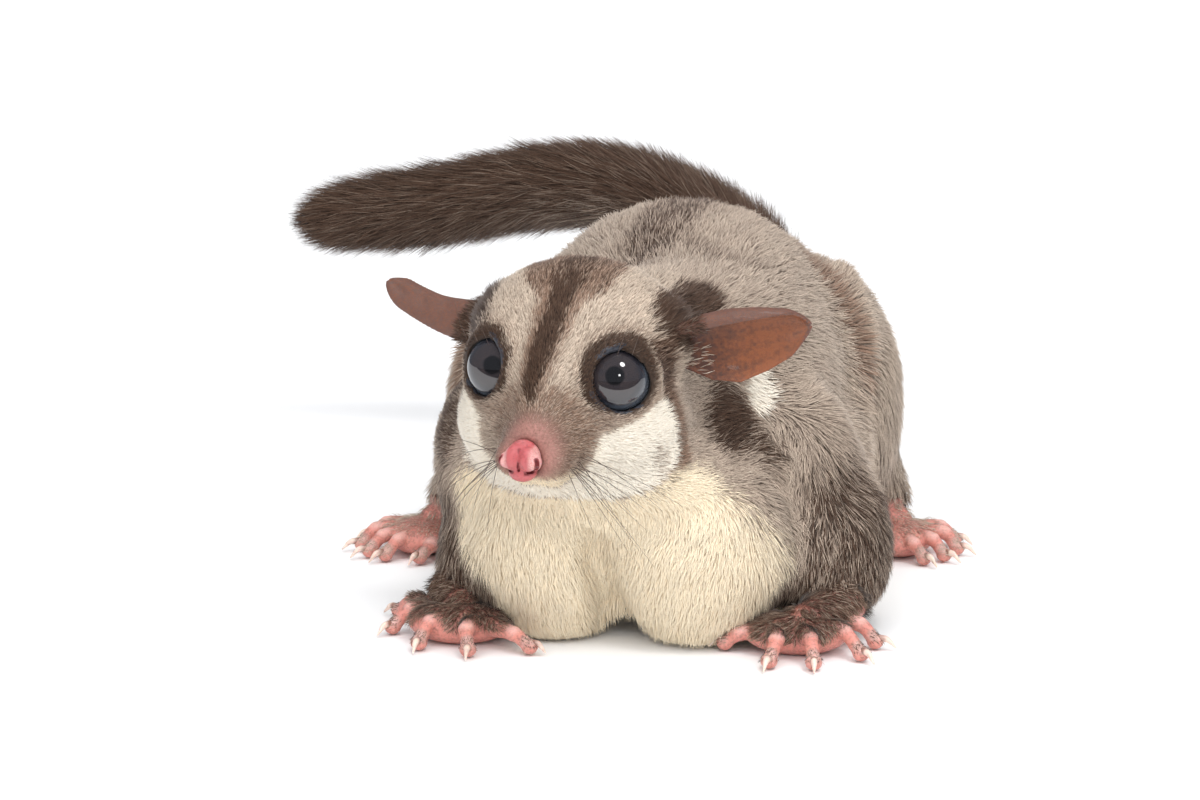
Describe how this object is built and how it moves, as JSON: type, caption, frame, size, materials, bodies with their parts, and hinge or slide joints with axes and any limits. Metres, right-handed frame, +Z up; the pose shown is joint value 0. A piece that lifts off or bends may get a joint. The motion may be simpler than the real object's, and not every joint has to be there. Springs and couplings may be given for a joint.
{
  "type": "sugar glider figure",
  "caption": "Life-size still figure of a sugar glider crouched on all fours, head turned a little to its right, ears spread, bushy tail curled round behind it",
  "frame": {"origin": "middle of the footprint of the whole figure, on the floor it rests on", "axes": "the body faces -Y, the animal's left side is +X and +Z is up; the tail sweeps round towards -X behind the rump"},
  "size_m": [0.1468, 0.1996, 0.0632],
  "materials": {
    "fur_grey": "short dense grey-brown fur",
    "fur_dark": "dense dark brown fur",
    "skin_pink": "bare pink skin",
    "skin_ear": "thin bare mauve-brown skin",
    "nose_pink": "moist bare pink skin",
    "eye_black": "polished dark eye"
  },
  "bodies": {
    "root": {"head": "fur_grey", "neck": "fur_grey", "torso": "fur_grey", "nose": "nose_pink", "eye_left": "eye_black", "eye_right": "eye_black", "ear_left": "skin_ear", "ear_right": "skin_ear", "patagium_left": "fur_dark", "patagium_right": "fur_dark", "foreleg_left": "fur_dark", "foreleg_right": "fur_dark", "hindleg_left": "fur_dark", "hindleg_right": "fur_dark", "forefoot_left": "skin_pink", "forefoot_right": "skin_pink", "hindfoot_left": "skin_pink", "hindfoot_right": "skin_pink", "tail_base": "fur_dark", "tail_middle": "fur_dark", "tail_end": "fur_dark"}
  },
  "joints": []
}
